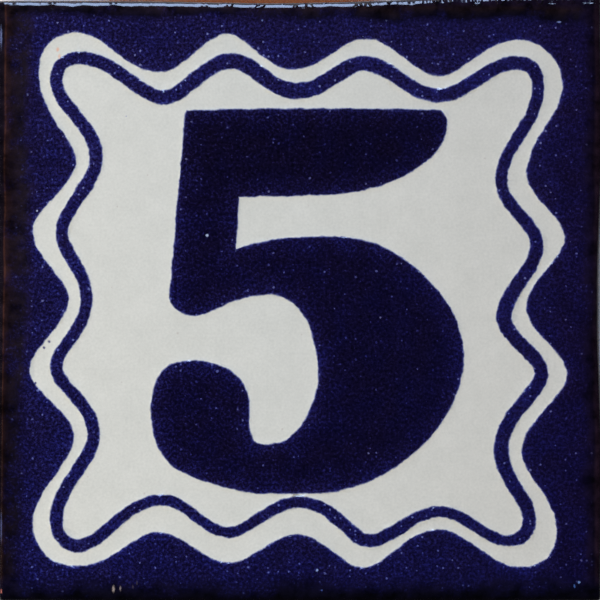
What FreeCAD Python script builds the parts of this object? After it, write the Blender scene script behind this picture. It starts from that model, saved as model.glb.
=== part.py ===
import FreeCAD, Part
import math
import os
import Sketcher
from FreeCAD import Rotation, Vector

# House number tile: a square ceramic wall tile that carries the numeral 5.
#
# Frame, in millimetres: the tile lies on its back. The origin is the middle of the back, +Z goes out through the
# glazed face, +Y points to the top of the numeral and +X to its right.
#
# The decoration stands in the glaze. The white field is the lower level. The cobalt ground round it, the wavy line
# inside it and the numeral stand one glaze step above it, level with each other.

SIZES = [
    ("tile_side", 105.0, "over all, across the widest part of the sides, just under the rounded rim"),
    ("tile_thickness", 7.0, "from back to face"),
    ("side_draft", 2.0, "degrees by which the sides lean in towards the back"),
    ("corner_radius", 0.9, "upright corners of the tile"),
    ("rim_radius", 1.2, "rounding where the face turns down to the sides"),
    ("back_chamfer", 0.5, "bevel round the back"),
    ("key_count", 6, "keying grooves across the back"),
    ("key_pitch", 14.0, "from groove to groove"),
    ("key_width", 5.0, "width of a keying groove"),
    ("key_depth", 0.8, "depth of a keying groove"),
    ("key_margin", 8.0, "from the end of a groove to the edge of the face"),
    ("glaze_step", 0.2, "height of the cobalt glaze above the white field"),
    ("lobe_margin", 14.5, "from a corner of the tile to the top of a corner lobe, along the side"),
    ("lobe_depth", 6.1, "from the edge of the tile to the top of a corner lobe"),
    ("lobe_corner", 8.2, "from both edges of the tile to the corner of a lobe"),
    ("crest_depth", 5.9, "from the edge of the tile to a crest of the white field"),
    ("trough_depth", 12.4, "from the edge of the tile to a trough of the white field"),
    ("line_gap", 3.3, "white band between the cobalt ground and the wavy line"),
    ("line_width", 2.2, "brush width of the wavy line"),
    ("numeral_gap", 0.9, "from the wavy line's troughs to the top and the foot of the numeral"),
    ("numeral_shift", 1.4, "from the middle of the tile to the middle of the numeral"),
]

# The border is painted by hand, so each crest and trough strays a little from an even wave. Each row is one side of
# the tile, clockwise from the top: lobe, trough, crest, trough, crest, trough, lobe, corner. Each pair is the stray
# along the side, clockwise, and the stray inwards from the edge.
FIELD_STRAYS = [
    [(-0.5, -0.7), (1.1, -0.1), (0.0, -0.3), (-1.9, -0.6), (-1.3, 0.5), (-0.7, 0.6), (0.4, 0.5), (-0.1, 1.2)],
    [(0.3, 0.2), (4.0, 0.1), (1.4, 0.0), (1.8, 0.2), (0.0, -0.4), (1.8, 1.0), (1.4, 1.3), (0.6, 0.6)],
    [(-0.2, -0.3), (0.9, 0.0), (1.8, -0.2), (0.9, -0.9), (0.0, 0.6), (-0.3, -0.5), (1.0, -0.2), (0.6, 0.0)],
    [(-0.6, -0.4), (2.4, 0.4), (0.5, -0.8), (0.9, -0.5), (0.0, -0.2), (-0.8, 0.8), (0.8, 0.7), (0.4, -0.1)],
]
LINE_STRAYS = [
    [(-0.4, -0.6), (1.9, 0.0), (1.4, 0.1), (-0.1, -1.1), (-1.5, 0.5), (-0.7, -0.3), (0.7, 0.3), (-0.8, 0.1)],
    [(0.2, 0.2), (4.8, 0.3), (2.3, 0.6), (3.4, -0.2), (-0.5, -0.2), (0.9, 0.3), (0.3, 1.7), (-0.4, 1.7)],
    [(1.1, 0.0), (0.8, -1.2), (1.0, 0.3), (-0.4, 0.4), (0.0, 1.6), (-3.2, 0.5), (2.1, -0.7), (0.5, -0.3)],
    [(-1.1, -0.6), (1.7, -0.4), (0.9, -0.4), (0.1, -1.6), (-1.0, 0.5), (0.1, 0.1), (1.3, -0.7), (0.5, -0.3)],
]
# How far the six slopes between them bulge outwards.
FIELD_BULGES = [
    [-0.5, 0.0, -0.1, -0.5, 0.1, 0.5],
    [-0.5, 0.1, -0.4, 0.1, -0.6, 0.3],
    [0.0, -0.3, -0.4, 0.2, -0.1, 0.5],
    [-0.1, 0.1, -0.3, 0.6, -0.2, 0.4],
]
LINE_BULGES = [
    [0.3, 0.6, -0.6, -0.2, -0.2, 0.3],
    [0.0, -0.2, 0.0, -0.1, -0.6, -0.3],
    [0.0, 0.1, -0.7, -0.4, 0.4, -0.9],
    [0.6, -0.7, -0.3, -0.4, -0.1, 0.0],
]
# How much wider than line_width the brush line is at the eight places of each side.
LINE_SWELLS = [
    [-0.1, 0.1, 0.4, 0.4, 0.3, 0.1, 0.0, 0.1],
    [-0.2, -0.2, 0.0, 0.3, 0.0, 0.3, 0.0, 0.2],
    [-0.4, -0.4, 0.0, -0.3, -0.4, -0.5, 0.0, -0.1],
    [-0.1, -0.1, -0.2, -0.2, -0.1, 0.0, -0.2, -0.2],
]

# The numeral's outline, clockwise, in hundredths of its height from its middle: a flag with a slightly bowed top, a
# short stem, a bowl that ends in a round terminal, and a straight back.
FLAG_TOP = [(-31.4, 49.5), (0.6, 50.0), (34.6, 49.5)]
FLAG_UNDERSIDE = [
    (34.6, 49.5), (36.0, 48.0), (35.9, 44.2), (33.5, 39.1), (27.3, 33.9), (20.1, 30.4), (9.7, 28.2), (-2.0, 27.4),
    (-17.9, 27.1),
]
STEM = [(-17.9, 27.1), (-18.7, 13.4)]
BOWL = [
    (-18.7, 13.4), (-12.8, 15.1), (-5.9, 16.3), (2.7, 16.7), (12.3, 16.2), (21.3, 13.2), (30.4, 6.3), (37.4, -2.5),
    (40.6, -14.8), (38.2, -25.2), (31.2, -36.1), (20.1, -44.7), (8.4, -49.3), (-2.0, -50.0), (-14.9, -49.8),
    (-27.9, -46.4), (-36.9, -41.1), (-40.4, -32.2), (-39.9, -22.6), (-36.7, -17.2), (-30.5, -15.6), (-23.2, -16.6),
    (-17.5, -20.5), (-15.3, -26.2), (-15.1, -33.5), (-13.9, -36.6), (-10.3, -37.3), (-5.6, -36.2), (-1.5, -32.4),
    (1.7, -25.7), (2.9, -19.0), (1.7, -10.2), (-1.7, -2.5), (-5.6, 0.7), (-11.0, 1.6), (-18.8, 0.2), (-25.3, -2.6),
    (-30.5, -3.7), (-33.8, -2.4), (-35.6, 0.5), (-35.6, 4.1),
]
BACK = [(-35.6, 4.1), (-31.8, 48.1)]
BACK_CORNER = [(-31.8, 48.1), (-31.4, 49.5)]

BRUSH_STEPS = 2
LAP = 3
ARC_TOLERANCE = 0.05
SAME_LEVEL = 0.001

doc = FreeCAD.newDocument("house_number_tile")


def fill_sheet():
    """Spreadsheet with one row a size: its name, its value under that alias, and what it measures."""
    table = doc.addObject("Spreadsheet::Sheet", "sizes")
    for row, (name, value, meaning) in enumerate(SIZES, start=1):
        table.set("A%d" % row, name)
        table.set("B%d" % row, str(value))
        table.setAlias("B%d" % row, name)
        table.set("C%d" % row, meaning)
    doc.recompute()
    return table


def size(name):
    return float(sheet.get(name))


def origin_feature(body, role):
    return [item for item in body.Origin.OriginFeatures if item.Role == role][0]


def new_sketch(body, name, level):
    """Empty sketch parallel to the body's XY plane, at the level that an expression gives."""
    sketch = body.newObject("Sketcher::SketchObject", name)
    sketch.AttachmentSupport = [(origin_feature(body, "XY_Plane"), "")]
    sketch.MapMode = "FlatFace"
    sketch.setExpression("AttachmentOffset.Base.z", level)
    return sketch


def bind(sketch, name, expression, *rule):
    """Adds a named dimension that takes its value from an expression."""
    index = sketch.addConstraint(Sketcher.Constraint(*rule))
    sketch.renameConstraint(index, name)
    sketch.setExpression("Constraints." + name, expression)


def draw_square(sketch, half, side):
    """Square about the sketch's origin."""
    corners = [Vector(-half, -half), Vector(half, -half), Vector(half, half), Vector(-half, half)]
    for index, corner in enumerate(corners):
        sketch.addGeometry(Part.LineSegment(corner, corners[(index + 1) % 4]), False)
    for index in range(4):
        sketch.addConstraint(Sketcher.Constraint("Coincident", index, 2, (index + 1) % 4, 1))
        sketch.addConstraint(Sketcher.Constraint("Vertical" if index % 2 else "Horizontal", index))
    sketch.addConstraint(Sketcher.Constraint("Symmetric", 0, 1, 2, 1, -1, 1))
    bind(sketch, "width", side, "DistanceX", 0, 1, 0, 2, 2 * half)
    bind(sketch, "height", side, "DistanceY", 1, 1, 1, 2, 2 * half)


def draw_groove(sketch, middle, radius, reach):
    """Groove along Y with round ends, at the left end of its row."""
    up = Vector(0, 0, 1)
    top = Part.Circle(Vector(-middle, reach), up, radius)
    foot = Part.Circle(Vector(-middle, -reach), up, radius)
    left = -middle - radius
    right = -middle + radius
    sketch.addGeometry(Part.ArcOfCircle(top, 0, math.pi), False)
    sketch.addGeometry(Part.LineSegment(Vector(left, reach), Vector(left, -reach)), False)
    sketch.addGeometry(Part.ArcOfCircle(foot, math.pi, 2 * math.pi), False)
    sketch.addGeometry(Part.LineSegment(Vector(right, -reach), Vector(right, reach)), False)
    for index in range(4):
        sketch.addConstraint(Sketcher.Constraint("Tangent", index, 2, (index + 1) % 4, 1))
    sketch.addConstraint(Sketcher.Constraint("Vertical", 1))
    sketch.addConstraint(Sketcher.Constraint("Equal", 0, 2))
    bind(sketch, "row_half", "(sizes.key_count - 1) * sizes.key_pitch / 2", "DistanceX", 0, 3, -1, 1, middle)
    bind(sketch, "radius", "sizes.key_width / 2", "Radius", 0, radius)
    half_length = "sizes.tile_side / 2 - sizes.key_margin - sizes.key_width / 2"
    bind(sketch, "reach_up", half_length, "DistanceY", -1, 1, 0, 3, reach)
    bind(sketch, "reach_down", half_length, "DistanceY", 2, 3, -1, 1, reach)


def draw_painted(sketch, curves):
    """Hand-painted edges, which stay where they are drawn: each curve as a chain of tangent arcs."""
    pieces = []
    for curve in curves:
        pieces += [curve] if isinstance(curve, Part.LineSegment) else curve.toBiArcs(ARC_TOLERANCE)
    sketch.addGeometry(pieces, False)
    sketch.addConstraint([Sketcher.Constraint("Block", index) for index in range(len(pieces))])


def through(points):
    """Smooth curve through the points, and the stations along it at which it passes them."""
    stations = [0.0]
    for start, end in zip(points, points[1:]):
        stations.append(stations[-1] + start.distanceToPoint(end))
    curve = Part.BSplineCurve()
    curve.interpolate(Points=points, Parameters=stations)
    return curve, stations


def round_loop(points):
    """The same for a closed loop. The curve laps over itself at both ends and is cut back to one round."""
    curve, stations = through(points[-LAP:] + points + points[:LAP + 1])
    stations = stations[LAP:-LAP]
    curve.segment(stations[0], stations[-1])
    return curve, stations


def border_nodes(strays, bulges, inset):
    """Lobes, crests, troughs, corners and slopes of one wavy edge, clockwise from the top left lobe."""
    lobe, trough, crest = size("lobe_depth"), size("trough_depth"), size("crest_depth")
    depths = [lobe, trough, crest, trough, crest, trough, lobe]
    half = size("tile_side") / 2
    reach = half - size("lobe_margin")
    step = 2 * reach / (len(depths) - 1)
    corner = size("lobe_corner") + inset / math.sqrt(2)
    places = [(-reach + place * step, depth + inset) for place, depth in enumerate(depths)]
    places.append((half - corner, corner))
    nodes = []
    for side, row in enumerate(strays):
        turn = Rotation(Vector(0, 0, 1), -90 * side)
        points = [
            turn.multVec(Vector(along + stray_along, half - depth - stray_in))
            for (along, depth), (stray_along, stray_in) in zip(places, row)
        ]
        nodes += with_slopes(points, bulges[side])
    return nodes


def with_slopes(points, bulges):
    """Adds a point half way down each slope of a side, off the straight line by the slope's bulge."""
    nodes = []
    for start, end, bulge in zip(points, points[1:-1], bulges):
        outward = Vector(start.y - end.y, end.x - start.x).normalize()
        nodes += [start, (start + end) / 2 + outward * bulge]
    return nodes + points[-2:]


def brush_widths():
    """Width of the brush line at each node. On a slope it is the mean of the widths beside it."""
    widths = []
    for row in LINE_SWELLS:
        for start, end in zip(row, row[1:-1]):
            widths += [start, (start + end) / 2]
        widths += row[-2:]
    return [size("line_width") + swell for swell in widths]


def brush_edges(nodes, widths):
    """Outer and inner edge of a brush line along the nodes, square to its path on both sides."""
    path, stations = round_loop(nodes)
    ends = widths[1:] + widths[:1]
    outer = []
    inner = []
    for index in range(len(nodes)):
        for step in range(BRUSH_STEPS):
            share = step / BRUSH_STEPS
            station = stations[index] + share * (stations[index + 1] - stations[index])
            half_width = (widths[index] + share * (ends[index] - widths[index])) / 2
            along = path.tangent(station)[0]
            outward = Vector(-along.y, along.x) * half_width
            outer.append(path.value(station) + outward)
            inner.append(path.value(station) - outward)
    return [round_loop(outer)[0], round_loop(inner)[0]]


def numeral_curves():
    """Closed outline of the numeral, as tall as the wavy line's troughs leave room for."""
    margin = size("trough_depth") + size("line_gap") + size("line_width") + size("numeral_gap")
    scale = (size("tile_side") - 2 * margin) / 100
    curves = []
    for span in (FLAG_TOP, FLAG_UNDERSIDE, STEM, BOWL, BACK, BACK_CORNER):
        points = [Vector(size("numeral_shift") + x * scale, y * scale) for x, y in span]
        curves.append(through(points)[0] if len(points) > 2 else Part.LineSegment(*points))
    return curves


def edges_where(shape, test):
    """Names of the shape's edges that pass the test."""
    return ["Edge%d" % number for number, edge in enumerate(shape.Edges, start=1) if test(edge)]


def faces_where(shape, test):
    """Names of the shape's faces that pass the test."""
    return ["Face%d" % number for number, face in enumerate(shape.Faces, start=1) if test(face)]


def is_upright(face):
    return abs(face.normalAt(0, 0).z) < SAME_LEVEL


def lies_at(item, level):
    box = item.BoundBox
    return abs(box.ZMin - level) < SAME_LEVEL and abs(box.ZMax - level) < SAME_LEVEL


def stands_up(edge):
    return edge.BoundBox.ZLength > size("tile_thickness") / 2


def dress(body, kind, name, base, elements, length_property, expression):
    """Draft, fillet or chamfer on the named faces or edges of the feature before it."""
    feature = body.newObject("PartDesign::" + kind, name)
    feature.Base = (base, elements)
    feature.setExpression(length_property, expression)
    doc.recompute()
    return feature


def make_blank(body):
    """Pressed blank: a square that narrows towards its back, with rounded corners and rim."""
    face = new_sketch(body, "face_square", "sizes.tile_thickness")
    draw_square(face, size("tile_side") / 2, "sizes.tile_side + 2 * sizes.rim_radius * tan(sizes.side_draft)")
    blank = body.newObject("PartDesign::Pad", "blank")
    blank.Profile = face
    blank.Reversed = True
    blank.setExpression("Length", "sizes.tile_thickness")
    doc.recompute()
    sides = dress(body, "Draft", "sides", blank, faces_where(blank.Shape, is_upright), "Angle", "sizes.side_draft")
    sides.Reversed = True
    sides.NeutralPlane = (blank, faces_where(blank.Shape, lambda face: lies_at(face, size("tile_thickness"))))
    doc.recompute()
    corners = dress(
        body, "Fillet", "corners", sides, edges_where(sides.Shape, stands_up), "Radius", "sizes.corner_radius"
    )
    face_edges = edges_where(corners.Shape, lambda edge: lies_at(edge, size("tile_thickness")))
    rim = dress(body, "Fillet", "rim", corners, face_edges, "Radius", "sizes.rim_radius")
    back_edges = edges_where(rim.Shape, lambda edge: lies_at(edge, 0))
    dress(body, "Chamfer", "back_bevel", rim, back_edges, "Size", "sizes.back_chamfer")


def make_key(body):
    """Row of shallow grooves across the back, where the adhesive keys in."""
    middle = (size("key_count") - 1) * size("key_pitch") / 2
    radius = size("key_width") / 2
    sketch = new_sketch(body, "groove_outline", "0")
    draw_groove(sketch, middle, radius, size("tile_side") / 2 - size("key_margin") - radius)
    groove = body.newObject("PartDesign::Pocket", "groove")
    groove.Profile = sketch
    groove.Reversed = True
    groove.setExpression("Length", "sizes.key_depth")
    doc.recompute()
    row = body.newObject("PartDesign::LinearPattern", "groove_row")
    row.Originals = [groove]
    row.Direction = (origin_feature(body, "X_Axis"), [""])
    row.setExpression("Length", "(sizes.key_count - 1) * sizes.key_pitch")
    row.setExpression("Occurrences", "sizes.key_count")
    body.Tip = row
    doc.recompute()


def make_decoration(body):
    """White field let into the glaze, then the wavy line and the numeral built up in it."""
    field_outline = new_sketch(body, "field_outline", "sizes.tile_thickness")
    draw_painted(field_outline, [round_loop(border_nodes(FIELD_STRAYS, FIELD_BULGES, 0))[0]])
    field = body.newObject("PartDesign::Pocket", "white_field")
    field.Profile = field_outline
    field.setExpression("Length", "sizes.glaze_step")
    doc.recompute()
    line_nodes = border_nodes(LINE_STRAYS, LINE_BULGES, size("line_gap") + size("line_width") / 2)
    for name, curves in (
        ("wavy_line", brush_edges(line_nodes, brush_widths())),
        ("numeral", numeral_curves()),
    ):
        outline = new_sketch(body, name + "_outline", "sizes.tile_thickness - sizes.glaze_step")
        draw_painted(outline, curves)
        raised = body.newObject("PartDesign::Pad", name)
        raised.Profile = outline
        raised.setExpression("Length", "sizes.glaze_step")
        doc.recompute()


def check_and_write(body):
    """Stops on a failed object, then writes the body to its own file."""
    for item in doc.Objects:
        if "Invalid" in item.State or "Error" in item.State:
            raise RuntimeError("%s failed: %s" % (item.Name, item.State))
    shape = body.Shape
    if shape.isNull() or not shape.isValid() or len(shape.Solids) != 1:
        raise RuntimeError("%s is not one valid solid" % body.Label)
    os.makedirs("parts", exist_ok=True)
    shape.exportStep("parts/%s.step" % body.Label)
    box = shape.BoundBox
    print(
        "%s: %.1f x %.1f x %.1f mm, %.2f cm3"
        % (body.Label, box.XLength, box.YLength, box.ZLength, shape.Volume / 1000)
    )


sheet = fill_sheet()
tile = doc.addObject("PartDesign::Body", "tile")
tile.Label = "tile"
make_blank(tile)
make_key(tile)
make_decoration(tile)
check_and_write(tile)
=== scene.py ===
from math import radians, tan

import bmesh
import bpy
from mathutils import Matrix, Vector, noise
from mathutils.kdtree import KDTree


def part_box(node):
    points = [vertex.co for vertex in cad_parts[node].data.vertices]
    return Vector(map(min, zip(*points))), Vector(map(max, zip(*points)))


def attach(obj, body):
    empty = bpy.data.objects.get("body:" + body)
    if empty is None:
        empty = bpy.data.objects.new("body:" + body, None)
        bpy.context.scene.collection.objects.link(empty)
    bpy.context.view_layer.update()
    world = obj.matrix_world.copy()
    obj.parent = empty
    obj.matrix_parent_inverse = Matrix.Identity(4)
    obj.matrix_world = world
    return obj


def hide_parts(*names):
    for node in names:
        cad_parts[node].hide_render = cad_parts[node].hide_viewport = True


# House number tile: a square of fired clay under an opaque white glaze, painted by hand in cobalt.
# It lies on its back, glazed face up, with the top of the numeral towards +Y. Blender works in metres.

MM = 0.001
LEVEL = 0.001 * MM  # two points nearer than this in height are on one level
UPRIGHT = 0.1       # a face is upright where its normal rises or falls by less than this
LYING = 0.9         # and lies flat where it rises or falls by more than this

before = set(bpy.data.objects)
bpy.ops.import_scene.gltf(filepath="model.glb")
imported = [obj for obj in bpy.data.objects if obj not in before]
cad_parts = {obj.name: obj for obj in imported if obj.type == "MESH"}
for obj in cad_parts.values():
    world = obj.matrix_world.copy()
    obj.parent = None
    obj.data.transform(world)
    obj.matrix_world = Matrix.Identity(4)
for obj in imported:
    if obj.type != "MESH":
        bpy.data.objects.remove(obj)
_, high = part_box("tile")
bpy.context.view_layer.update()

# Blank.
SIDE_DRAFT = radians(2)
CORNER_RADIUS = 0.9 * MM
RIM_RADIUS = 1.2 * MM
BACK_RADIUS = 0.5 * MM
BEVEL_SEGMENTS = 8
FACE_HALF = high.x + RIM_RADIUS * tan(SIDE_DRAFT)  # where the leaning sides would meet the face

# Keying grooves on the back.
KEY_COUNT = 6
KEY_PITCH = 14 * MM
KEY_WIDTH = 5 * MM
KEY_DEPTH = 0.8 * MM
KEY_MARGIN = 8 * MM
KEY_EDGE = 0.25 * MM
KEY_EDGE_SEGMENTS = 3
KEY_ROUND_SIDES = 32       # sides of the cylinder that gives a groove its round ends

# Glaze.
GLAZE_STEP = 0.2 * MM     # cobalt above the white field
GLAZE_SLOPE = 0.4 * MM    # half the width over which that step falls
RIM_LAND = 1.6 * MM       # flat ground between the rim and the part of the face taken from the CAD tile
GLAZE_LINE = 2.9 * MM     # height at which the glaze ends on the sides
GLAZE_WANDER = 0.7 * MM   # how far that line rises and falls
WANDER_LENGTH = 9 * MM
RIPPLE = 0.4              # strength of a finer ripple, beside that of the slow wander
RIPPLE_RATE = 3.1         # how many times finer it is
RUN_RATE = 0.9            # the same for the few longer runs
RUN_START = 0.25          # noise above this makes a run
RUN_LENGTH = 3.5          # how far a run goes down, beside the slow wander
RUN_SHIFT = Vector((5, 1, 3))  # keeps the runs apart from the wander
GLAZE_LIP = 0.3 * MM      # height of the glaze's rounded lower edge
GLAZE_COAT = 0.12 * MM    # thickness of the glaze on the sides
GLAZE_SWELL = 0.08 * MM   # how deep the slow hollows of the glazed surface are
SWELL_LENGTH = 16 * MM
SMOOTH_BELOW = radians(50)  # edges that turn by more than this stay sharp

GRID = 2.5 * MM           # spacing of the cuts that let the surface swell and sag
SIDE_GRID = 1.25 * MM

# The sides are a little out of true, as on a tile trimmed by hand. Each row is one pull on a side: its
# middle, how far it goes and its reach.
GLAZE_PULLS = [
    (Vector((52, 52.5, 5)) * MM, Vector((0, 1.15, 0)) * MM, 58 * MM),
    (Vector((-52, 52.5, 5)) * MM, Vector((-0.4, 0.16, 0)) * MM, 48 * MM),
    (Vector((3, 52.5, 5)) * MM, Vector((0, -0.26, 0)) * MM, 28 * MM),
    (Vector((52.5, 0, 5)) * MM, Vector((0.85, 0, 0)) * MM, 110 * MM),
    (Vector((52.5, 0, 5)) * MM, Vector((-0.8, 0, 0)) * MM, 26 * MM),
    (Vector((-52.5, 0, 5)) * MM, Vector((-0.6, 0, 0)) * MM, 110 * MM),
    (Vector((0, -52.5, 5)) * MM, Vector((0, -0.5, 0)) * MM, 110 * MM),
]
CLAY_PULLS = [(Vector((-8, 52.3, 1.2)) * MM, Vector((0, 0.9, 0)) * MM, 90 * MM)]
PULL_GRIP = 4 * MM        # points nearer than this to the middle are the ones that are dragged

# Map for baked colours: the decorated face fills most of it.
MAPPED_SIDE = 105 * MM
MAP_SCALE = 0.735 / MAPPED_SIDE
BACK_MAP_SCALE = 0.245 / MAPPED_SIDE
MAP_GAP = 0.005
MAP_STRIP_SPARE = 1 * MM  # empty width left between two sides
FACES_UP = 0.7            # normals that rise more than this go to the face
FACES_DOWN = -0.5         # and those that fall more than this go to the back


def edit(piece):
    """Makes the piece the only selected object and opens it for editing."""
    if bpy.context.mode != "OBJECT":
        bpy.ops.object.mode_set(mode="OBJECT")
    bpy.ops.object.select_all(action="DESELECT")
    piece.select_set(True)
    bpy.context.view_layer.objects.active = piece
    bpy.ops.object.mode_set(mode="EDIT")


def done():
    bpy.ops.object.mode_set(mode="OBJECT")


def choose(piece, kind, test):
    """Selects the faces, edges or vertices that pass the test."""
    bpy.ops.mesh.select_mode(type=kind)
    bpy.ops.mesh.select_all(action="DESELECT")
    mesh = bmesh.from_edit_mesh(piece.data)
    items = {"FACE": mesh.faces, "EDGE": mesh.edges, "VERT": mesh.verts}[kind]
    for item in items:
        if test(item):
            item.select_set(True)
    bmesh.update_edit_mesh(piece.data)


def apply_modifier(piece, kind, name, **settings):
    modifier = piece.modifiers.new(name, kind)
    for key, value in settings.items():
        setattr(modifier, key, value)
    bpy.ops.object.select_all(action="DESELECT")
    piece.select_set(True)
    bpy.context.view_layer.objects.active = piece
    bpy.ops.object.modifier_apply(modifier=modifier.name)


def on_level(item, height):
    """True where all the item's points lie at the height."""
    return all(abs(vert.co.z - height) < LEVEL for vert in item.verts)


def off_centre(point):
    """From the middle of the tile towards its nearest side."""
    return max(abs(point.x), abs(point.y))


def decorated_face():
    """White field, wavy line, numeral and part of the ground, taken from the CAD tile, their steps eased."""
    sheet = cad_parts["tile"].copy()
    sheet.data = sheet.data.copy()
    sheet.name = "decorated_face"
    sheet.parent = None
    bpy.context.scene.collection.objects.link(sheet)
    edit(sheet)
    bpy.ops.mesh.select_all(action="SELECT")
    bpy.ops.mesh.remove_doubles(threshold=LEVEL)
    top = [vert.co for vert in bmesh.from_edit_mesh(sheet.data).verts if high.z - vert.co.z < LEVEL]
    flat_half = max(off_centre(point) for point in top) + LEVEL
    white_level = high.z - GLAZE_STEP

    def is_decoration(face):
        return all(off_centre(vert.co) < flat_half and vert.co.z > white_level - LEVEL for vert in face.verts)

    choose(sheet, "FACE", lambda face: not is_decoration(face))
    bpy.ops.mesh.delete(type="FACE")
    bpy.ops.mesh.select_all(action="SELECT")
    bpy.ops.mesh.inset(thickness=RIM_LAND, use_boundary=True, use_even_offset=True)
    bpy.ops.mesh.select_all(action="INVERT")
    bpy.ops.mesh.delete(type="FACE")
    for level in (high.z, white_level):
        choose(sheet, "FACE", lambda face: on_level(face, level))
        bpy.ops.mesh.inset(thickness=GLAZE_SLOPE, use_boundary=False, use_even_offset=True)

    def is_step(edge):
        start, end = (vert.co for vert in edge.verts)
        return (start - end).xy.length < LEVEL and abs(start.z - end.z) > GLAZE_STEP / 2

    choose(sheet, "EDGE", is_step)
    bpy.ops.mesh.merge(type="COLLAPSE")
    done()
    return sheet


def pressed_blank():
    """Square that narrows towards its back, with rim, corners and back edge rounded to their own radii."""
    bpy.ops.object.select_all(action="DESELECT")
    side = 2 * FACE_HALF
    bpy.ops.mesh.primitive_cube_add(size=1, location=(0, 0, high.z / 2), scale=(side, side, high.z))
    blank = bpy.context.active_object
    blank.name = "glazed_tile"
    bpy.ops.object.transform_apply()
    edit(blank)
    choose(blank, "FACE", lambda face: on_level(face, 0))
    narrowed = 1 - high.z * tan(SIDE_DRAFT) / FACE_HALF
    bpy.ops.transform.resize(value=(narrowed, narrowed, 1), center_override=(0, 0, 0))
    for radius, test in (
        (RIM_RADIUS, lambda edge: on_level(edge, high.z)),
        (BACK_RADIUS, lambda edge: on_level(edge, 0)),
        (CORNER_RADIUS, lambda edge: abs(edge.verts[0].co.z - edge.verts[1].co.z) > high.z / 2),
    ):
        choose(blank, "EDGE", test)
        bpy.ops.transform.edge_bevelweight(value=radius / RIM_RADIUS)
    done()
    apply_modifier(
        blank, "BEVEL", "rounding", limit_method="WEIGHT", width=RIM_RADIUS, segments=BEVEL_SEGMENTS,
        use_clamp_overlap=False,
    )
    return blank


def key_cutter():
    """One keying groove as a solid with round ends, at the left end of the row."""
    start = -(KEY_COUNT - 1) / 2 * KEY_PITCH
    reach = high.y - KEY_MARGIN - KEY_WIDTH / 2
    bpy.ops.object.select_all(action="DESELECT")
    bpy.ops.mesh.primitive_cylinder_add(
        vertices=KEY_ROUND_SIDES, radius=KEY_WIDTH / 2, depth=2 * KEY_DEPTH, location=(start, 0, 0)
    )
    cutter = bpy.context.active_object
    bpy.ops.object.transform_apply()
    edit(cutter)
    for way in (1, -1):
        choose(cutter, "VERT", lambda vert: way * vert.co.y > LEVEL)
        bpy.ops.transform.translate(value=(0, way * reach, 0))
    done()
    return cutter


def key_the_back(blank):
    """Cuts the row of grooves and softens their edges."""
    cutter = key_cutter()
    apply_modifier(
        cutter, "ARRAY", "row", count=KEY_COUNT, use_relative_offset=False, use_constant_offset=True,
        constant_offset_displace=(KEY_PITCH, 0, 0),
    )
    apply_modifier(blank, "BOOLEAN", "grooves", operation="DIFFERENCE", solver="EXACT", object=cutter)
    bpy.data.objects.remove(cutter)

    def is_groove_edge(edge):
        if not (on_level(edge, 0) or on_level(edge, KEY_DEPTH)) or len(edge.link_faces) != 2:
            return False
        steepness = sorted(abs(face.normal.z) for face in edge.link_faces)
        return steepness[0] < UPRIGHT and steepness[1] > LYING

    edit(blank)
    choose(blank, "EDGE", is_groove_edge)
    bpy.ops.mesh.bevel(offset=KEY_EDGE, segments=KEY_EDGE_SEGMENTS, affect="EDGES")
    done()


def glaze_foot(point):
    """Height at which the glaze ends at a place on the sides: it wanders, with a few longer runs."""
    place = Vector((point.x, point.y, 0)) / WANDER_LENGTH
    swing = noise.noise(place) + RIPPLE * noise.noise(place * RIPPLE_RATE)
    run = max(0, noise.noise(place * RUN_RATE + RUN_SHIFT) - RUN_START)
    return GLAZE_LINE - GLAZE_LIP + GLAZE_WANDER * (swing - RUN_LENGTH * run)


def end_the_glaze(blank):
    """Glaze stops part way down the sides in a wandering line with a lip. Below it the clay stands back."""
    def is_side(face):
        return abs(face.normal.z) < UPRIGHT and face.calc_center_median().z > BACK_RADIUS

    edit(blank)
    steps = int(2 * high.x / SIDE_GRID)
    for axis in (Vector((1, 0, 0)), Vector((0, 1, 0))):
        for step in range(1, steps):
            choose(blank, "FACE", is_side)
            place = axis * (step * SIDE_GRID - steps * SIDE_GRID / 2)
            bpy.ops.mesh.bisect(plane_co=place, plane_no=axis)
    shoulder = GLAZE_LINE - 2 * GLAZE_LIP
    for height in (GLAZE_LINE, GLAZE_LINE - GLAZE_LIP, shoulder):
        choose(blank, "FACE", is_side)
        bpy.ops.mesh.bisect(plane_co=(0, 0, height), plane_no=(0, 0, 1))
    mesh = bmesh.from_edit_mesh(blank.data)
    loops = [vert for vert in mesh.verts if shoulder - LEVEL < vert.co.z < GLAZE_LINE + LEVEL]
    clay = [vert for vert in mesh.verts if KEY_DEPTH + LEVEL < vert.co.z < GLAZE_LINE - LEVEL]
    for vert in loops:
        vert.co.z += glaze_foot(vert.co) - GLAZE_LINE + GLAZE_LIP
    back = 1 - GLAZE_COAT / high.x
    for vert in clay:
        vert.co.x *= back
        vert.co.y *= back
    bmesh.update_edit_mesh(blank.data)
    done()


def join_face(blank, sheet):
    """Opens the blank's face and fits the decorated face into it."""
    edit(blank)
    choose(blank, "FACE", lambda face: on_level(face, high.z))
    bpy.ops.mesh.delete(type="FACE")
    done()
    bpy.ops.object.select_all(action="DESELECT")
    sheet.select_set(True)
    blank.select_set(True)
    bpy.context.view_layer.objects.active = blank
    bpy.ops.object.join()
    edit(blank)
    choose(blank, "EDGE", lambda edge: edge.is_boundary)
    bpy.ops.mesh.bridge_edge_loops()
    done()


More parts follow.
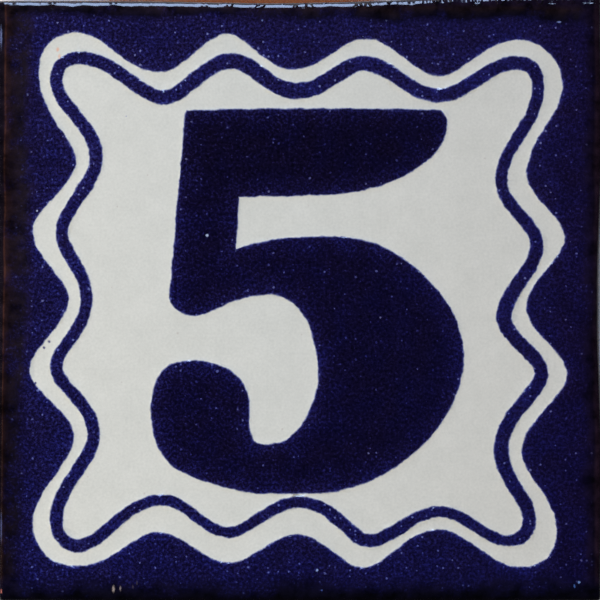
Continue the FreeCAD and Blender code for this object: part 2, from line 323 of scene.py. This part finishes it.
def grid_cuts(tile):
    """Even cuts across the whole tile, so that its surface can swell and sag."""
    edit(tile)
    steps = int(2 * high.x / GRID)
    for axis in (Vector((1, 0, 0)), Vector((0, 1, 0))):
        for step in range(1, steps):
            bpy.ops.mesh.select_all(action="SELECT")
            place = axis * (step * GRID - steps * GRID / 2)
            bpy.ops.mesh.bisect(plane_co=place, plane_no=axis)
    bpy.ops.mesh.select_all(action="SELECT")
    bpy.ops.mesh.quads_convert_to_tris(quad_method="BEAUTY", ngon_method="BEAUTY")
    done()


def measure_paint(tile):
    """Stores at each point how many millimetres it lies inside the cobalt, or below 0 how far outside."""
    edge_level = high.z - GLAZE_STEP / 2
    field_half = high.x - RIM_RADIUS - RIM_LAND
    verts = tile.data.vertices
    painted = [v for v in verts if abs(v.co.z - edge_level) < LEVEL and off_centre(v.co) < field_half]
    tree = KDTree(len(painted))
    for index, vert in enumerate(painted):
        tree.insert(vert.co, index)
    tree.balance()
    paint = tile.data.attributes.new("paint", "FLOAT", "POINT")
    for vert in verts:
        edge, _, _ = tree.find(vert.co)
        distance = (edge - vert.co).xy.length / MM
        is_white = edge_level - vert.co.z > LEVEL and off_centre(vert.co) < field_half
        paint.data[vert.index].value = -distance if is_white else distance


def pull(tile, middle, shift, reach, still):
    """Drags the surface at a place, and less and less the surface round it. What stays still is hidden."""
    edit(tile)
    choose(tile, "VERT", still)
    bpy.ops.mesh.hide()
    choose(tile, "VERT", lambda vert: not vert.hide and (vert.co - middle).length < PULL_GRIP)
    bpy.ops.transform.translate(
        value=shift, use_proportional_edit=True, proportional_edit_falloff="SMOOTH", proportional_size=reach
    )
    bpy.ops.mesh.reveal()
    done()


def settle_the_surface(tile):
    """Sides out of true, and a glaze that lies in slow swells."""
    decorated_half = high.x - RIM_RADIUS - RIM_LAND

    def is_clay(vert):
        return vert.co.z < glaze_foot(vert.co) - GLAZE_LIP / 2

    def is_decorated(vert):
        return vert.co.z > GLAZE_LINE and off_centre(vert.co) < decorated_half

    for middle, shift, reach in GLAZE_PULLS:
        pull(tile, middle, shift, reach, lambda vert: is_clay(vert) or is_decorated(vert))
    for middle, shift, reach in CLAY_PULLS:
        pull(tile, middle, shift, reach, lambda vert: not is_clay(vert))
    glazed = tile.vertex_groups.new(name="glazed")
    rim_foot = high.z - RIM_RADIUS
    for vert in tile.data.vertices:
        glazed.add([vert.index], min(1, max(0, (vert.co.z - rim_foot) / RIM_RADIUS)), "REPLACE")
    swell = bpy.data.textures.new("glaze_swell", "CLOUDS")
    swell.noise_scale = SWELL_LENGTH
    swell.noise_depth = 1
    apply_modifier(
        tile, "DISPLACE", "swell", texture=swell, texture_coords="LOCAL", direction="NORMAL",
        vertex_group="glazed", mid_level=1, strength=GLAZE_SWELL,
    )


def lay_out_map(tile):
    """Lays the face, the four sides and the back side by side on one map, the face largest."""
    layer = tile.data.uv_layers.new(name="OFBake")
    strip = (high.z + MAP_STRIP_SPARE) * MAP_SCALE
    sides = [Vector((0, 1, 0)), Vector((1, 0, 0)), Vector((0, -1, 0)), Vector((-1, 0, 0))]
    for face in tile.data.polygons:
        facing = max(range(4), key=lambda side: face.normal.dot(sides[side]))
        in_groove = face.center.z < KEY_DEPTH and off_centre(face.center) < high.x - KEY_MARGIN / 2
        is_back = face.normal.z < FACES_DOWN or in_groove
        for loop_index in face.loop_indices:
            point = tile.data.vertices[tile.data.loops[loop_index].vertex_index].co
            if face.normal.z > FACES_UP and not is_back:
                place = ((point.x + high.x) * MAP_SCALE, (point.y + high.y) * MAP_SCALE)
            elif is_back:
                place = (
                    2 * MAP_GAP + 2 * high.x * MAP_SCALE + (high.x - point.x) * BACK_MAP_SCALE,
                    (point.y + high.y) * BACK_MAP_SCALE,
                )
            else:
                along = point.x if facing % 2 == 0 else point.y
                start = 2 * MAP_GAP + 2 * high.y * MAP_SCALE + facing * strip
                place = ((along + high.x) * MAP_SCALE, start + point.z * MAP_SCALE)
            layer.data[loop_index].uv = (place[0] + MAP_GAP, place[1] + MAP_GAP)


def colour(hex_code, opacity=1):
    """sRGB hex to the linear colour that the shaders work in."""
    channels = [int(hex_code[start:start + 2], 16) / 255 for start in (1, 3, 5)]
    return [c / 12.92 if c <= 0.04045 else ((c + 0.055) / 1.055) ** 2.4 for c in channels] + [opacity]


def add(tree, kind, sockets=(), stops=(), length=1.0, **settings):
    """Adds a node with its settings. Its sockets, in order or by name, take values or other nodes' outputs.

    A colour ramp also takes its stops: place along the length, hex colour and, where given, opacity.
    """
    node = tree.nodes.new("ShaderNode" + kind)
    for key, value in settings.items():
        setattr(node, key, value)
    inputs = [socket for socket in node.inputs if socket.enabled]
    pairs = sockets.items() if isinstance(sockets, dict) else enumerate(sockets)
    for key, value in pairs:
        socket = inputs[key] if isinstance(key, int) else next(s for s in inputs if s.name == key)
        if isinstance(value, bpy.types.Node):
            value = next(output for output in value.outputs if output.enabled)
        if isinstance(value, bpy.types.NodeSocket):
            tree.links.new(value, socket)
        else:
            socket.default_value = value
    for index, (place, *paint) in enumerate(stops):
        elements = node.color_ramp.elements
        element = elements[index] if index < 2 else elements.new(place / length)
        element.position = place / length
        element.color = colour(*paint)
    return node


def new_material(name):
    material = bpy.data.materials.new(name)
    material.use_nodes = True
    material.node_tree.nodes.clear()
    return material, material.node_tree


# Cobalt from where it is thinnest to where it lies thickest, as the pigment grains and pools.
COBALT = [
    (0.0, "#6870B0"), (0.14, "#363C8C"), (0.32, "#232165"),
    (0.5, "#191645"), (0.68, "#120F36"), (1.0, "#08061F"),
]
# Inside a brush stroke the paint thickens away from its edge: millimetres from the edge, and the load of
# paint there against that of the middle.
POOLING = [(0.2, -0.17), (0.6, -0.07), (1.6, -0.03), (5.0, 0.0)]

# Glaze burnt thin over the rim, its near-black over the rounding also painted reflection of the dark room,
# one side
# at a time: the way inwards from the side, and colours by millimetres from the edge, each with how much it
# hides.
# Then the way along the side, two places on it, and from the first to the second the strength of the colour
# and how many millimetres the band is narrower.
RIM_LENGTH = 6.0
RIM_BANDS_BURNT_AND_SHADED = {
    "top": (
        (-0.01, -1, 0),
        [
            (0.0, "#1A1224", 1), (0.9, "#20161A", 1), (1.6, "#15101A", 1),
            (2.3, "#0D0A14", 0.9), (3.5, "#100D2A", 0),
        ],
        (1, 0, 0), (0.0, 25.0), (1.1, 0.7), (0.0, 0.0),
    ),
    "left": (
        (1, -0.0055, 0),
        [
            (0.0, "#100C14", 1), (0.45, "#140E14", 1), (0.66, "#35201B", 1), (0.9, "#1F1315", 1),
            (1.8, "#150E11", 0.95), (4.2, "#161116", 0.85), (6.0, "#1E162E", 0),
        ],
        (0, 1, 0), (-22.0, -4.0), (0.65, 1.25), (1.6, -0.1),
    ),
    "right": (
        (-1, 0, 0),
        [
            (0.0, "#1C1018", 1), (0.5, "#1A101A", 1), (1.0, "#0D0815", 1),
            (2.0, "#120C20", 0.8), (3.4, "#100C2C", 0),
        ],
        (0, 1, 0), (-50.0, 50.0), (1.1, 1.1), (0.0, 0.0),
    ),
    "bottom": (
        (0, 1, 0),
        [(0.0, "#05040A", 1), (1.3, "#080714", 1), (2.6, "#0C0A1E", 0.8), (4.8, "#0D0B28", 0)],
        (1, 0, 0), (-50.0, 50.0), (1.0, 1.0), (0.0, 0.0),
    ),
}

# The materials work in millimetres. Sizes of their patterns:
PAINT_GRAIN = 0.5
PAINT_CLOUD = 3.2
PAINT_HUE_PATCH = 4.0
DOT_SPACING = 0.9      # pale dots where the pigment has drawn apart
BRUSH_WAVER = 2.0
BRUSH_SWING = 0.8
WHITE_CLOUD = 5.0
WHITE_MOTTLE = 0.45
SPECK_SPACING = 2.8    # iron specks in the white
BAND_WAVER = 9.0
BAND_SWING = 3.6       # how far the bands waver, from side to side
BAND_PATCH = 2.5
BAND_GAP = 6.0         # stretches where the cobalt shows through the burnt bands
MARK_RAGGEDNESS = 0.3
PEEL_SIZE = 1.4        # orange peel of the gloss
GLOSS_SWELL = 9.0
BEAD_SIZE = 1.8
LEAN_LENGTH = 3.5
CLAY_PATCH = 14.0
SAND_GRAIN = 0.5
PIT_SPACING = 1.8

# Strengths of the patterns: cobalt where it is neither thick nor thin, and how much each one adds or takes.
MIDDLE_LOAD = 0.55
CLOUD_LOAD = 0.3
MOTTLE = 0.8
MARK_SWING = 0.8
LEAN = 0.8
LEAST_ROUGHNESS = 0.06
CLOUD_ROUGHNESS = 0.06
PAINT_ROUGHNESS = 0.05

# Heights that the bump gives them.
SWELL_HEIGHT = 0.05
PEEL_HEIGHT = 0.008
GRAIN_HEIGHT = 0.004
SAND_HEIGHT = 0.10
PIT_HEIGHT = 0.08

# Half the box that holds the numeral and nothing else.
NUMERAL_HALF_WIDTH = 32.0
NUMERAL_HALF_HEIGHT = 34.5

# Each row takes a value from the first number to the second and gives back one from the third to the fourth.
COARSER_TO_THE_LEFT = (-20.0, 42.0, 1.75, 1.25)
FINER_AT_THE_EDGE = (0.2, 1.2, 0.8, 1.0)
DEEPER_IN_THE_NUMERAL = (0.5, 4.0, 0.0, 0.14)
DOT_SIZES = (0.5, 1.0, 0.0, 0.3)
DOT_THINNING = (-0.08, 0.15, 0.0, -0.5)
# Painted sheen: the cobalt wash lightens towards the top.
PAINTED_SHEEN_UPWARDS = (-50.0, 50.0, 0.0, 1.0)
NUMERAL_FOOT_TO_FLAG = (6.0, 26.0, 0.0, 1.0)
# Painted shade: the cobalt wash darkens at the right of the ground.
PAINTED_SHADE_RIGHT_GROUND = (38.0, 47.0, 0.0, 1.0)
HUE_SPREAD = (0.35, 0.65, 0.0, 1.0)
WHITE_TO_THE_RIGHT = (-5.0, 40.0, 0.0, 1.0)
SPECK_SIZES = (0.55, 1.0, 0.0, 0.085)
SPECK_EDGE = (-0.02, 0.06, 0.0, 0.35)
BAND_PATCHES = (0.33, 0.67, 0.3, 1.55)
BAND_GAPS = (0.5, 0.62, 0.0, -0.5)
LOOSE_FROM_THE_CREST = (0.3, 2.5, 0.06, 1.0)
MARK_EDGE = (0.7, 1.7, 0.9, 0.0)
BEAD_CHANCE = (0.54, 0.68, 0.0, 1.0)
BEAD_LINE = (5.0, 50.0, -51.1, -52.0)       # where the beads start, taken off Y
BEAD_FADE = (0.0, 0.3, 0.0, 1.0)
ABOVE_THE_SIDE = (5.9, 6.3, 0.0, 1.0)
BEAD_DEPTHS = (-24.0, 20.0, 0.0, 0.35)
LEAN_FROM_THE_CREST = (51.45, 52.6, -0.3, 0.85)
PIT_EDGE = (0.05, 0.2, 0.0, 1.0)

# The painted edge lies about this deep in the paint, where first the bleed and then the cover sets in.
EDGE_DEPTH = 0.4
BLEED = (EDGE_DEPTH - 0.28, EDGE_DEPTH + 0.05, 0.0, 1.0)
COVER = (EDGE_DEPTH - 0.22, EDGE_DEPTH + 0.15, 0.0, 1.0)

# Single marks seen on the face: x, y, width, height in millimetres, and colour. Among them are one painted
# highlight and two painted reflections.
MARKS_AND_PAINTED_GLINTS = [
    (-42.4, 44.1, 0.6, 0.9, "#DDB49C"), (-42.1, 42.9, 0.55, 0.9, "#DDBEA8"),
    (-30.4, 32.4, 0.25, 0.25, "#8890B8"), (-43.9, -7.1, 0.6, 0.6, "#2C3070"),
    (-44.8, -8.2, 0.55, 0.55, "#2C3070"), (-46.3, -14.4, 0.55, 0.55, "#2C3070"),
    (-16.2, 11.5, 0.55, 0.55, "#B0C0DC"), (3.1, -47.2, 0.5, 0.5, "#90A8E0"),
    (14.2, -2.9, 0.35, 0.35, "#6E70A0"), (12.1, -26.7, 0.35, 0.35, "#6E70A0"),
    (49.0, -49.3, 0.5, 0.5, "#7090C8"), (48.2, -50.0, 0.35, 0.7, "#4060A0"),
    (3.9, -50.7, 0.35, 0.35, "#3C5090"), (-46.0, 15.8, 0.4, 0.4, "#A8B0D8"),
    # The pale oval at 45.5, 48.9 is a painted highlight.
    (-6.5, 49.2, 0.35, 0.35, "#6070A8"), (45.5, 48.9, 0.8, 0.35, "#7484B8"),
    (-32.6, -50.5, 0.5, 1.3, "#988C84"), (-31.4, -50.4, 0.35, 0.9, "#847A78"),
    (-29.2, -50.1, 0.3, 0.7, "#3A3440"), (-28.5, -49.4, 0.3, 0.8, "#34303C"),
    # The two long pale blue streaks on the left rim are painted reflections.
    (-52.3, 46.3, 0.4, 4.0, "#5C6890"), (-52.3, -39.7, 0.35, 5.5, "#3C4468"),
    (-52.3, -50.9, 0.35, 0.8, "#A8625A"),
]


def cobalt_paint(tree, place, axes, paint):
    """Cobalt laid by brush: grained, bluer and thinner at its edges, darkest in the middle of the numeral."""
    across = add(tree, "Math", (axes["X"],), operation="ABSOLUTE")
    along = add(tree, "Math", (axes["Y"],), operation="ABSOLUTE")
    inside_x = add(tree, "Math", (across, NUMERAL_HALF_WIDTH), operation="LESS_THAN")
    inside_y = add(tree, "Math", (along, NUMERAL_HALF_HEIGHT), operation="LESS_THAN")
    numeral = add(tree, "Math", (inside_x, inside_y), operation="MULTIPLY")

    grain = add(
        tree, "TexNoise", {"Vector": place, "Scale": 1 / PAINT_GRAIN, "Detail": 2.0, "Roughness": 0.65}
    )
    cloud = add(tree, "TexNoise", {"Vector": place, "Scale": 1 / PAINT_CLOUD, "Detail": 3.0})
    coarseness = add(tree, "MapRange", (axes["X"], *COARSER_TO_THE_LEFT))
    fineness = add(tree, "MapRange", (paint, *FINER_AT_THE_EDGE))
    coarseness = add(tree, "Math", (coarseness, fineness), operation="MULTIPLY")
    load = add(tree, "Math", (grain, -0.5), operation="ADD")
    load = add(tree, "Math", (load, coarseness, MIDDLE_LOAD), operation="MULTIPLY_ADD")
    dots = add(tree, "TexVoronoi", {"Vector": place, "Scale": 1 / DOT_SPACING})
    chance = add(tree, "SeparateColor", (dots.outputs["Color"],))
    size = add(tree, "MapRange", (chance.outputs["Red"], *DOT_SIZES))
    inside = add(tree, "Math", (size, dots.outputs["Distance"]), operation="SUBTRACT")
    thin = add(tree, "MapRange", (inside, *DOT_THINNING), interpolation_type="SMOOTHSTEP")
    load = add(tree, "Math", (load, thin), operation="ADD")
    load = add(tree, "Math", (cloud, CLOUD_LOAD, load), operation="MULTIPLY_ADD")
    load = add(tree, "Math", (load, -CLOUD_LOAD / 2), operation="ADD")
    deep = add(tree, "MapRange", (paint, *DEEPER_IN_THE_NUMERAL))
    load = add(tree, "Math", (deep, numeral, load), operation="MULTIPLY_ADD")
    start, start_load = POOLING[0]
    load = add(tree, "Math", (load, start_load), operation="ADD")
    for end, end_load in POOLING[1:]:
        thicker = add(tree, "MapRange", (paint, start, end, 0.0, end_load - start_load))
        load = add(tree, "Math", (load, thicker), operation="ADD")
        start, start_load = end, end_load
    ramp = add(tree, "ValToRGB", (load,), stops=COBALT)

    # The ground and the line get a thinner wash than the numeral. Lighter towards the top is painted sheen,
    # and darker at the right of the ground is painted shade.
    upright = add(tree, "MapRange", (axes["Y"], *PAINTED_SHEEN_UPWARDS))
    wash = add(
        tree, "Mix", {"Factor": upright, "A": colour("#D8DEE2"), "B": colour("#FFFFEE")}, data_type="RGBA"
    )
    # Painted shade at the right of the ground.
    right = add(tree, "MapRange", (axes["X"], *PAINTED_SHADE_RIGHT_GROUND))
    wash = add(
        tree, "Mix", {"Factor": right, "A": wash, "B": colour("#F0DEDE")},
        data_type="RGBA", blend_type="MULTIPLY",
    )
    raised = add(tree, "MapRange", (axes["Y"], *NUMERAL_FOOT_TO_FLAG))
    dense = add(
        tree, "Mix", {"Factor": raised, "A": colour("#D8D6D2"), "B": colour("#D0CABA")}, data_type="RGBA"
    )
    wash = add(tree, "Mix", {"Factor": numeral, "A": wash, "B": dense}, data_type="RGBA")
    warmth = add(tree, "TexNoise", {"Vector": place, "Scale": 1 / PAINT_HUE_PATCH, "Detail": 4.0})
    warmth = add(tree, "MapRange", (warmth, *HUE_SPREAD))
    hue = add(
        tree, "Mix", {"Factor": warmth, "A": colour("#FFF4E4"), "B": colour("#F2F6FF")}, data_type="RGBA"
    )
    wash = add(tree, "Mix", {"Factor": 1.0, "A": wash, "B": hue}, data_type="RGBA", blend_type="MULTIPLY")
    cobalt = add(tree, "Mix", {"Factor": 1.0, "A": ramp, "B": wash}, data_type="RGBA", blend_type="MULTIPLY")
    return cobalt, grain


def white_glaze(tree, place, axes):
    """Tin white: even and slightly warm, warmer towards the right, with a few faint iron specks."""
    cloud = add(
        tree, "TexNoise", {"Vector": place, "Scale": 1 / WHITE_CLOUD, "Detail": 6.0, "Roughness": 0.75}
    )
    fine = add(tree, "TexNoise", {"Vector": place, "Scale": 1 / WHITE_MOTTLE, "Detail": 1.0})
    tone = add(tree, "Math", (fine, MOTTLE, cloud), operation="MULTIPLY_ADD")
    tone = add(tree, "Math", (tone, -MOTTLE / 2), operation="ADD")
    white = add(
        tree, "Mix", {"Factor": tone, "A": colour("#C7CBC2"), "B": colour("#DDE0D7")}, data_type="RGBA"
    )
    right = add(tree, "MapRange", (axes["X"], *WHITE_TO_THE_RIGHT))
    white = add(
        tree, "Mix", {"Factor": right, "A": white, "B": colour("#FFFCFA")},
        data_type="RGBA", blend_type="MULTIPLY",
    )
    cells = add(tree, "TexVoronoi", {"Vector": place, "Scale": 1 / SPECK_SPACING})
    chance = add(tree, "SeparateColor", (cells.outputs["Color"],))
    size = add(tree, "MapRange", (chance.outputs["Green"], *SPECK_SIZES))
    inside = add(tree, "Math", (size, cells.outputs["Distance"]), operation="SUBTRACT")
    speck = add(tree, "MapRange", (inside, *SPECK_EDGE), interpolation_type="SMOOTHSTEP")
    white = add(tree, "Mix", {"Factor": speck, "A": white, "B": colour("#A09288")}, data_type="RGBA")
    return white, cloud


def burn_and_shade_the_rim(tree, place, surface):
    """Colours along the four sides, where the glaze is thin and burnt over the rim, their near-black also
    painted reflection of the dark room.
    """
    waver = add(tree, "TexNoise", {"Vector": place, "Scale": 1 / BAND_WAVER, "Detail": 4.0})
    waver = add(tree, "Math", (waver, BAND_SWING, -BAND_SWING / 2), operation="MULTIPLY_ADD")
    patch = add(tree, "TexNoise", {"Vector": place, "Scale": 1 / BAND_PATCH, "Detail": 4.0, "Roughness": 0.6})
    patch = add(tree, "MapRange", (patch, *BAND_PATCHES))
    thinned = add(tree, "TexNoise", {"Vector": place, "Scale": 1 / BAND_GAP, "Detail": 4.0, "Roughness": 0.6})
    thinned = add(tree, "MapRange", (thinned, *BAND_GAPS))
    for direction, stops, way_along, places, strengths, narrowings in RIM_BANDS_BURNT_AND_SHADED.values():
        inwards = add(tree, "VectorMath", (place, direction), operation="DOT_PRODUCT")
        inwards = add(tree, "Math", (inwards, high.x / MM), operation="ADD")
        # The crest itself stays put, and the wavering grows inwards from it.
        loose = add(tree, "MapRange", (inwards, *LOOSE_FROM_THE_CREST))
        along = add(tree, "VectorMath", (place, way_along), operation="DOT_PRODUCT")
        narrower = add(tree, "MapRange", (along, *places, *narrowings))
        narrower = add(tree, "Math", (narrower, waver), operation="ADD")
        inwards = add(tree, "Math", (narrower, loose, inwards), operation="MULTIPLY_ADD")
        inwards = add(tree, "Math", (inwards, 1 / RIM_LENGTH), operation="MULTIPLY", use_clamp=True)
        # Band colours: burnt thin glaze, and a near-black that is also painted reflection of the dark room.
        ramp = add(tree, "ValToRGB", (inwards,), stops=stops, length=RIM_LENGTH)
        strength = add(tree, "MapRange", (along, *places, *strengths))
        strength = add(tree, "Math", (strength, patch), operation="MULTIPLY")
        burnt = add(tree, "VectorMath", {"Vector": ramp, "Scale": strength}, operation="SCALE")
        # Here and there the cobalt shows through, but not at the crest.
        lost = add(tree, "Math", (thinned, loose), operation="MULTIPLY")
        opacity = ramp.outputs["Alpha"]
        hide = add(tree, "Math", (opacity, lost, opacity), operation="MULTIPLY_ADD")
        surface = add(tree, "Mix", {"Factor": hide, "A": surface, "B": burnt}, data_type="RGBA")
    return surface


def mark_and_paint_glints(tree, place, surface):
    """Pin-holes, specks and pale streaks, each at its own place, with one painted highlight and two painted
    reflections on the rim.
    """
    edge = add(tree, "TexNoise", {"Vector": place, "Scale": 1 / MARK_RAGGEDNESS, "Detail": 1.0})
    for x, y, width, height, tint in MARKS_AND_PAINTED_GLINTS:
        spread = (2 / width, 2 / height, 0)
        shift = (-x * spread[0], -y * spread[1], 0)
        away = add(tree, "VectorMath", (place, spread, shift), operation="MULTIPLY_ADD")
        away = add(tree, "VectorMath", (away,), operation="LENGTH")
        away = add(tree, "Math", (edge, MARK_SWING, away), operation="MULTIPLY_ADD")
        cover = add(tree, "MapRange", (away, *MARK_EDGE), interpolation_type="SMOOTHSTEP")
        surface = add(tree, "Mix", {"Factor": cover, "A": surface, "B": colour(tint)}, data_type="RGBA")
    return surface


def painted_tin_glaze():
    """Opaque white tin glaze painted in cobalt and fired glossy.

    The white is clean with a few faint iron specks. The cobalt is a deep navy, grained because the pigment
    lies unevenly, bluer where it thins at a brush edge, and burnt brown-black where the glaze runs thin over
    the rim, where its near-black is also painted reflection of the dark room.
    """
    material, tree = new_material("painted_tin_glaze")
    object_place = add(tree, "TexCoord").outputs["Object"]
    place = add(tree, "VectorMath", {"Vector": object_place, "Scale": 1 / MM}, operation="SCALE")
    axes = add(tree, "SeparateXYZ", (place,)).outputs
    paint = add(tree, "Attribute", attribute_name="paint").outputs["Fac"]
    cobalt, grain = cobalt_paint(tree, place, axes, paint)
    cobalt = burn_and_shade_the_rim(tree, place, cobalt)
    white, cloud = white_glaze(tree, place, axes)

    # The brush edge wanders a little about its line, and the cobalt bleeds into the white in the firing.
    ragged = add(
        tree, "TexNoise", {"Vector": place, "Scale": 1 / BRUSH_WAVER, "Detail": 4.0, "Roughness": 0.6}
    )
    edge = add(tree, "Math", (ragged, BRUSH_SWING, paint), operation="MULTIPLY_ADD")
    bleed = add(tree, "MapRange", (edge, *BLEED), interpolation_type="SMOOTHSTEP")
    cover = add(tree, "MapRange", (edge, *COVER), interpolation_type="SMOOTHSTEP")
    base = add(tree, "Mix", {"Factor": bleed, "A": white, "B": colour("#6A74B4")}, data_type="RGBA")
    base = add(tree, "Mix", {"Factor": cover, "A": base, "B": cobalt}, data_type="RGBA")
    base = mark_and_paint_glints(tree, place, base)

    # Slow swells, a fine orange peel, and the pigment just felt under the gloss. Heights are in millimetres.
    swell = add(tree, "TexNoise", {"Vector": place, "Scale": 1 / GLOSS_SWELL, "Detail": 1.0})
    peel = add(tree, "TexNoise", {"Vector": place, "Scale": 1 / PEEL_SIZE, "Detail": 2.0})
    height = add(tree, "Math", (swell, SWELL_HEIGHT), operation="MULTIPLY")
    height = add(tree, "Math", (peel, PEEL_HEIGHT, height), operation="MULTIPLY_ADD")
    felt = add(tree, "Math", (grain, cover), operation="MULTIPLY")
    height = add(tree, "Math", (felt, GRAIN_HEIGHT, height), operation="MULTIPLY_ADD")

    # Along the top rim the glaze has pulled into beads, more so towards the right.
    beads = add(tree, "TexNoise", {"Vector": place, "Scale": 1 / BEAD_SIZE, "Detail": 0.5})
    beads = add(tree, "MapRange", (beads, *BEAD_CHANCE), interpolation_type="SMOOTHSTEP")
    rim_line = add(tree, "MapRange", (axes["X"], *BEAD_LINE))
    on_rim = add(tree, "Math", (axes["Y"], rim_line), operation="ADD")
    on_rim = add(tree, "MapRange", (on_rim, *BEAD_FADE))
    above_side = add(tree, "MapRange", (axes["Z"], *ABOVE_THE_SIDE))
    depth = add(tree, "MapRange", (axes["X"], *BEAD_DEPTHS))
    beads = add(tree, "Math", (beads, on_rim), operation="MULTIPLY")
    beads = add(tree, "Math", (beads, depth), operation="MULTIPLY")
    # Its crest also leans a little, now in and now out.
    lean = add(
        tree, "TexNoise", {"W": axes["X"], "Scale": 1 / LEAN_LENGTH, "Detail": 2.0}, noise_dimensions="1D"
    )
    lean = add(tree, "Math", (lean, LEAN, -LEAN / 2), operation="MULTIPLY_ADD")
    beyond = add(tree, "MapRange", (axes["Y"], *LEAN_FROM_THE_CREST))
    beyond = add(tree, "Math", (beyond, on_rim), operation="MULTIPLY")
    beads = add(tree, "Math", (lean, beyond, beads), operation="MULTIPLY_ADD")
    height = add(tree, "Math", (beads, above_side, height), operation="MULTIPLY_ADD")
    bump = add(tree, "Bump", {"Height": height, "Distance": MM, "Strength": 1.0})
    gloss = add(tree, "Math", (cloud, CLOUD_ROUGHNESS, LEAST_ROUGHNESS), operation="MULTIPLY_ADD")
    gloss = add(tree, "Math", (cover, PAINT_ROUGHNESS, gloss), operation="MULTIPLY_ADD")
    shader = add(tree, "BsdfPrincipled", {"Base Color": base, "Roughness": gloss, "Normal": bump, "IOR": 1.5})
    add(tree, "OutputMaterial", (shader,))
    return material


def fired_clay():
    """Bare red earthenware, pressed and fired: dull, sandy and open, with paler patches of dust and salts."""
    material, tree = new_material("fired_clay")
    object_place = add(tree, "TexCoord").outputs["Object"]
    place = add(tree, "VectorMath", {"Vector": object_place, "Scale": 1 / MM}, operation="SCALE")
    patch = add(tree, "TexNoise", {"Vector": place, "Scale": 1 / CLAY_PATCH, "Detail": 4.0})
    sand = add(tree, "TexNoise", {"Vector": place, "Scale": 1 / SAND_GRAIN, "Detail": 3.0})
    pits = add(tree, "TexVoronoi", {"Vector": place, "Scale": 1 / PIT_SPACING})
    pit = add(tree, "MapRange", (pits.outputs["Distance"], *PIT_EDGE), interpolation_type="SMOOTHSTEP")
    base = add(
        tree, "Mix", {"Factor": patch, "A": colour("#8A4A20"), "B": colour("#A06A3C")}, data_type="RGBA"
    )
    base = add(
        tree, "Mix", {"Factor": sand, "A": base, "B": colour("#8C4E30")},
        data_type="RGBA", blend_type="SOFT_LIGHT",
    )
    # The pits are painted darker: painted shade in them.
    base = add(tree, "Mix", {"Factor": pit, "A": colour("#6E3C26"), "B": base}, data_type="RGBA")
    height = add(tree, "Math", (sand, SAND_HEIGHT), operation="MULTIPLY")
    height = add(tree, "Math", (pit, PIT_HEIGHT, height), operation="MULTIPLY_ADD")
    bump = add(tree, "Bump", {"Height": height, "Distance": MM, "Strength": 1.0})
    shader = add(tree, "BsdfPrincipled", {"Base Color": base, "Roughness": 0.88, "Normal": bump, "IOR": 1.3})
    add(tree, "OutputMaterial", (shader,))
    return material


def dress(tile):
    """Glaze down to its foot on the sides, bare clay from there down and all over the back."""
    tile.data.materials.clear()
    tile.data.materials.append(painted_tin_glaze())
    tile.data.materials.append(fired_clay())
    edit(tile)

    def is_clay(face):
        middle = face.calc_center_median()
        return middle.z < glaze_foot(middle)

    choose(tile, "FACE", is_clay)
    tile.active_material_index = 1
    bpy.ops.object.material_slot_assign()
    done()
    bpy.ops.object.shade_smooth_by_angle(angle=SMOOTH_BELOW)
    apply_modifier(tile, "WEIGHTED_NORMAL", "flat_stays_flat", keep_sharp=True, weight=50)


# Lamps: name, place and size in metres, watts, tint, and whether the gloss mirrors it.
LAMPS = [
    ("window_beyond", Vector((-0.1, 2.06, 1.17)), (0.55, 2.2), 59, "#B9D2FF", True),
    ("softbox_left", Vector((-0.42, -0.03, 0.36)), (0.36, 0.36), 3.1, "#FFF0DE", False),
    ("softbox_below", Vector((0.1, -1.0, 0.95)), (0.6, 0.6), 3.5, "#FFF2DE", False),
]
FLOOR_SIZE = 4
# The room by height above the horizon: paler low down, and dark overhead, which is what the face mirrors.
ROOM = [(0.0, "#4A4B50"), (0.3, "#34353A"), (0.6, "#242528"), (0.9, "#18191C")]


def soft_light(name, place, size, power, tint, mirrored):
    """Soft box that faces the tile. One that isn't mirrored lights it without showing in the gloss."""
    bpy.ops.object.select_all(action="DESELECT")
    bpy.ops.object.light_add(type="AREA", location=place)
    lamp = bpy.context.active_object
    lamp.name = name
    lamp.rotation_euler = (-place).to_track_quat("-Z", "Y").to_euler()
    lamp.data.shape = "RECTANGLE"
    lamp.data.size, lamp.data.size_y = size
    lamp.data.energy = power
    lamp.data.color = colour(tint)[:3]
    lamp.visible_glossy = mirrored


def studio():
    """Pale floor in a dim room, with soft light from three sides, of which the gloss mirrors one."""
    bpy.ops.object.select_all(action="DESELECT")
    bpy.ops.mesh.primitive_plane_add(size=FLOOR_SIZE, location=(0, 0, 0))
    floor = bpy.context.active_object
    floor.name = "floor"
    material, tree = new_material("floor_paper")
    shader = add(tree, "BsdfPrincipled", {"Base Color": colour("#DEDEDB"), "Roughness": 0.9})
    add(tree, "OutputMaterial", (shader,))
    floor.data.materials.append(material)

    world = bpy.data.worlds.new("studio_room")
    bpy.context.scene.world = world
    world.use_nodes = True
    tree = world.node_tree
    tree.nodes.clear()
    direction = add(tree, "TexCoord").outputs["Generated"]
    height = add(tree, "SeparateXYZ", (direction,)).outputs["Z"]
    room = add(tree, "ValToRGB", (height,), stops=ROOM)
    background = add(tree, "Background", (room, 1.0))
    add(tree, "OutputWorld", (background,))

    for lamp in LAMPS:
        soft_light(*lamp)


def camera():
    """Straight above the face, which fills the picture."""
    distance = 0.8
    seen_width = 105.18 * MM
    middle = Vector((0.09, 0.17, 0)) * MM
    bpy.ops.object.camera_add(location=(middle.x, middle.y, high.z + distance), rotation=(0, 0, 0))
    eye = bpy.context.active_object
    eye.data.sensor_width = 36
    eye.data.lens = eye.data.sensor_width * distance / seen_width
    eye.data.clip_end = 10
    bpy.context.scene.camera = eye


sheet = decorated_face()
tile = pressed_blank()
key_the_back(tile)
end_the_glaze(tile)
join_face(tile, sheet)
grid_cuts(tile)
measure_paint(tile)
settle_the_surface(tile)
lay_out_map(tile)
dress(tile)
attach(tile, "root")
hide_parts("tile")
studio()
camera()
bpy.context.scene.view_settings.view_transform = "Standard"
